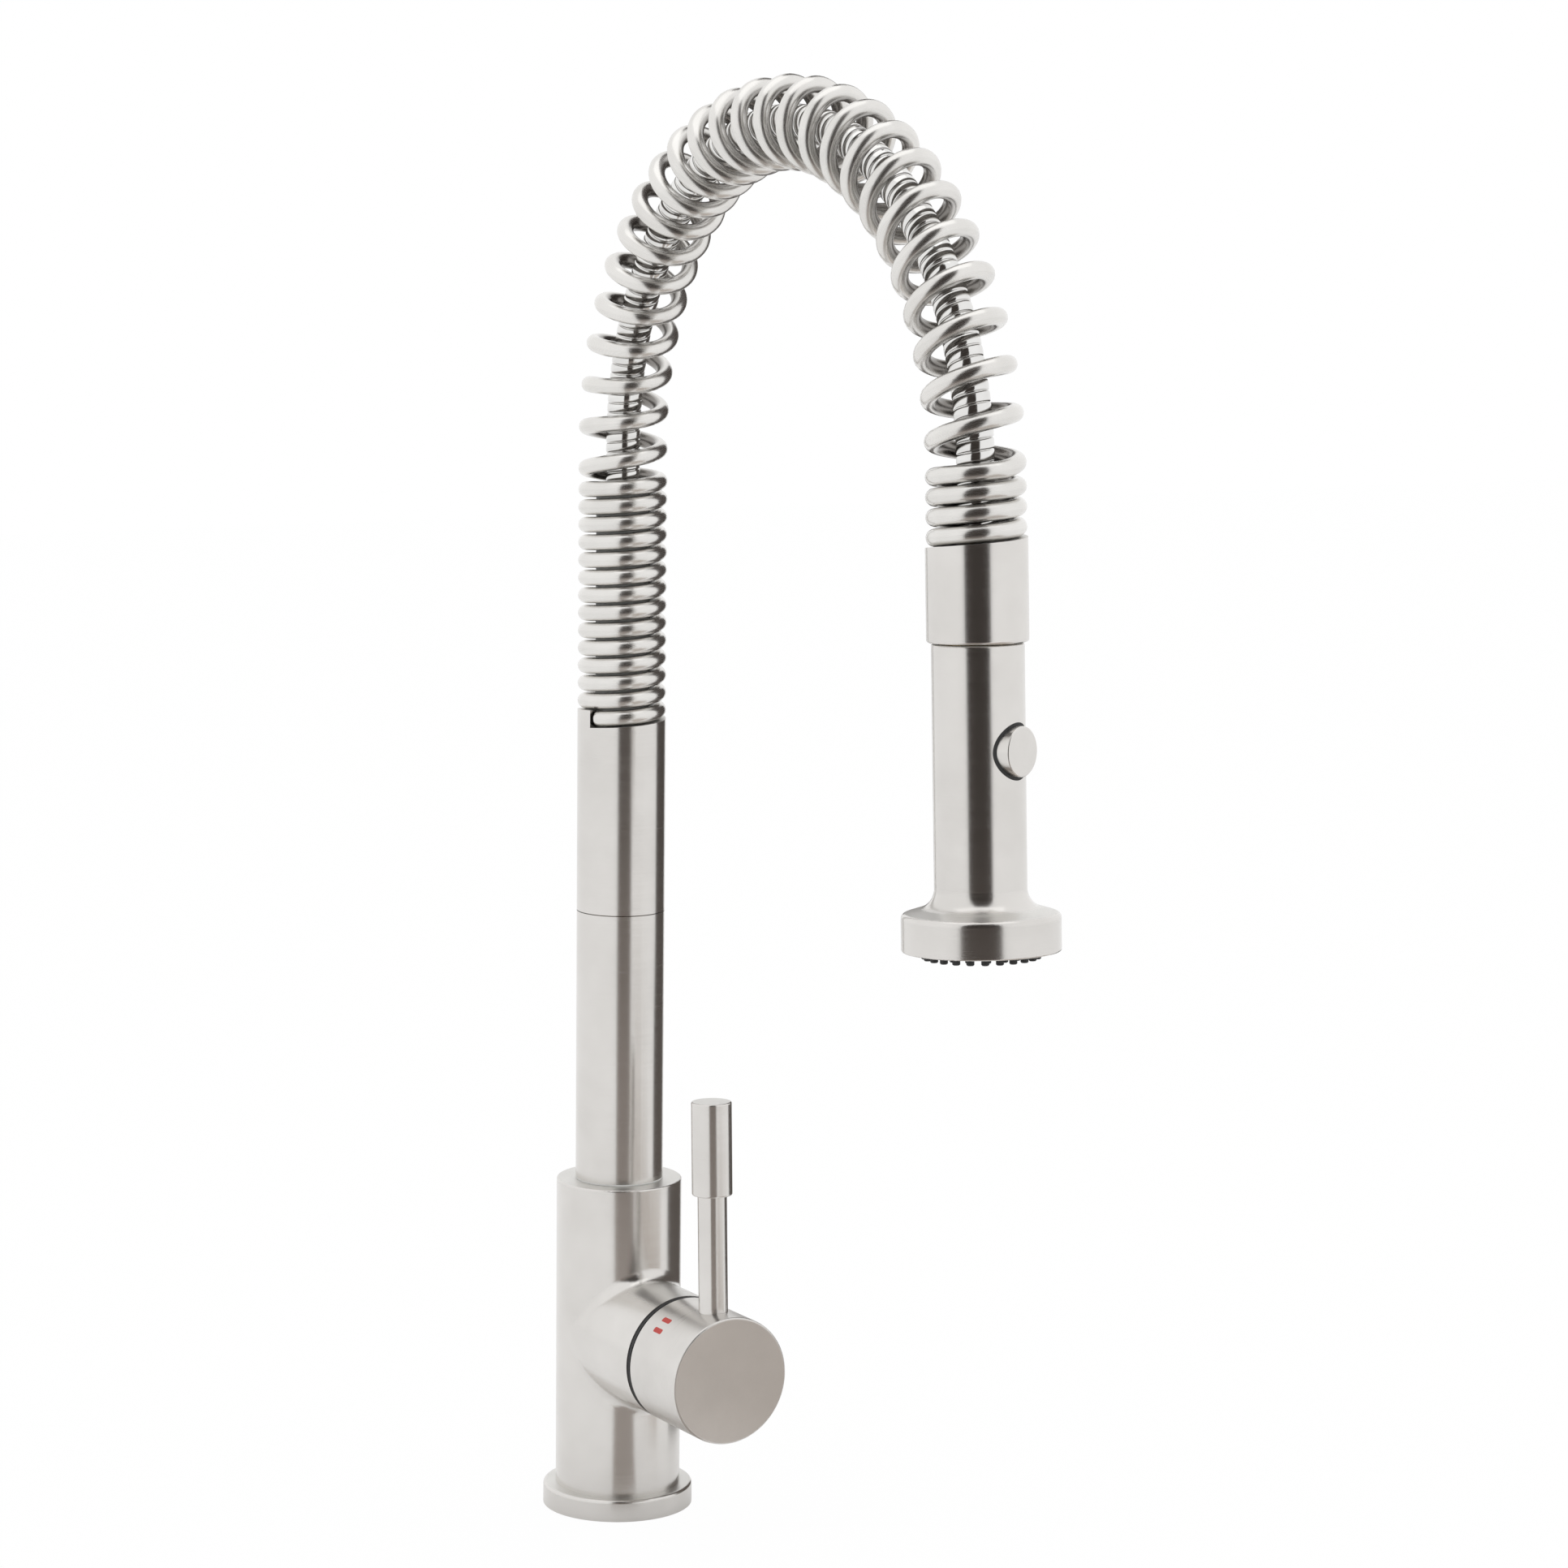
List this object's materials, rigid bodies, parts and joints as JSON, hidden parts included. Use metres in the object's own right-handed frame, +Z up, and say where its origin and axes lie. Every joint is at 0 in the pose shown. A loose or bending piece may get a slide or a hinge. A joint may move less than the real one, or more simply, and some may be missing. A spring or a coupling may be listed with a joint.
{
  "type": "pull-out kitchen tap",
  "caption": "Single-lever kitchen mixer tap with a swivelling riser, a spring arch round its hose and a pull-down two-way spray handset.",
  "frame": {"origin": "on the column's axis in the plane of the deck, where the base flange rests", "axes": "+Z up along the column, +X towards the spout and the handle's boss, +Y to the left seen from the spout's back"},
  "size_m": [0.2841, 0.055, 0.5759],
  "materials": {
    "brushed_steel": "fine brushed stainless steel",
    "polished_steel": "polished spring wire and hose armour",
    "plain_steel": "plain turned steel",
    "brass": "plain turned brass",
    "black_rubber": "matte black rubber",
    "white_plastic": "moulded plastic",
    "hose_liner": "smooth flexible tube",
    "ceramic": "lapped ceramic",
    "red_enamel": "red filled mark",
    "blue_enamel": "blue filled mark"
  },
  "bodies": {
    "base": {"base_flange": "brushed_steel", "base_seal": "black_rubber", "threaded_shank": "brass", "deck_rubber_washer": "black_rubber", "deck_steel_washer": "plain_steel", "shank_nut": "brass", "body": "brushed_steel", "cartridge_base": "white_plastic", "fixed_disc": "ceramic", "cartridge_housing": "white_plastic", "cartridge_nut": "brass", "dome_ring": "brushed_steel", "dome_seal": "black_rubber", "retainer_screw": "plain_steel"},
    "rotor": {"cartridge_rotor": "white_plastic", "pivot_pin": "plain_steel"},
    "handle": {"lever_stem": "plain_steel", "handle_cap": "brushed_steel", "lever_rod": "brushed_steel", "lever_grip": "brushed_steel", "handle_set_screw": "plain_steel", "hot_mark_1": "red_enamel", "hot_mark_2": "red_enamel", "cold_mark_1": "blue_enamel", "cold_mark_2": "blue_enamel"},
    "disc": {"moving_disc": "ceramic"},
    "spout": {"slip_washer": "white_plastic", "riser_spigot": "brass", "riser_seal_lower": "black_rubber", "riser_seal_upper": "black_rubber", "riser_lower_tube": "brushed_steel", "riser_coupling": "brass", "riser_upper_tube": "brushed_steel", "spring_guide": "white_plastic", "spring": "polished_steel", "hose_fitting": "brass", "hose_liner": "hose_liner", "hose_armour": "polished_steel", "armour_ferrule": "brass"},
    "collar": {"spring_collar": "brushed_steel", "hose_cone": "brass", "swivel_bush": "white_plastic"},
    "handset": {"hose_nut": "brass", "hose_washer": "black_rubber", "handset_inlet": "brass", "handset_shell": "brushed_steel", "valve_seat": "black_rubber", "valve_guide": "white_plastic", "valve_spring": "plain_steel", "diverter_body": "white_plastic", "diverter_spring": "plain_steel", "button_ring": "black_rubber", "spray_manifold": "white_plastic", "nozzle_mat": "black_rubber", "spray_plate": "brushed_steel", "aerator": "white_plastic"},
    "button": {"spray_button": "brushed_steel", "diverter_spool": "white_plastic"},
    "poppet": {"valve_poppet": "white_plastic"}
  },
  "joints": [
    {"name": "handle_turn", "type": "hinge", "parent": "base", "child": "rotor", "pos_m": [0, 0, 0.0644], "axis": [1, 0, 0], "range_deg": [-45, 45]},
    {"name": "handle_lift", "type": "hinge", "parent": "rotor", "child": "handle", "pos_m": [0.0245, 0, 0.0644], "axis": [0, 1, 0], "range_deg": [0, 18]},
    {"name": "disc_slide", "type": "slide", "parent": "rotor", "child": "disc", "axis": [0, 0, 1], "range_m": [0, 0.00275]},
    {"name": "spout_swivel", "type": "hinge", "parent": "base", "child": "spout", "pos_m": [0, 0, 0.1205], "axis": [0, 0, 1], "continuous": true},
    {"name": "handset_pull", "type": "slide", "parent": "spout", "child": "collar", "axis": [0.0523, 0, -0.9986], "range_m": [0, 0.12], "stiffness_N_per_m": 60, "springref_m": -0.1, "deforming": ["spring", "hose_armour", "hose_liner"]},
    {"name": "handset_spin", "type": "hinge", "parent": "collar", "child": "handset", "pos_m": [0.22665, 0, 0.33654], "axis": [0.0523, 0, -0.9986], "continuous": true},
    {"name": "spray_button_press", "type": "slide", "parent": "handset", "child": "button", "axis": [-0.9291, -0.3665, -0.0487], "range_m": [0, 0.0025], "stiffness_N_per_m": 800, "springref_m": -0.002, "deforming": ["diverter_spring"]},
    {"name": "check_valve_lift", "type": "slide", "parent": "handset", "child": "poppet", "axis": [0.0523, 0, -0.9986], "range_m": [0, 0.002], "stiffness_N_per_m": 100, "springref_m": -0.004, "deforming": ["valve_spring"]}
  ],
  "couplings": [
    {"joint": "disc_slide", "follows": "handle_lift", "m_per_rad": 0.008656}
  ]
}
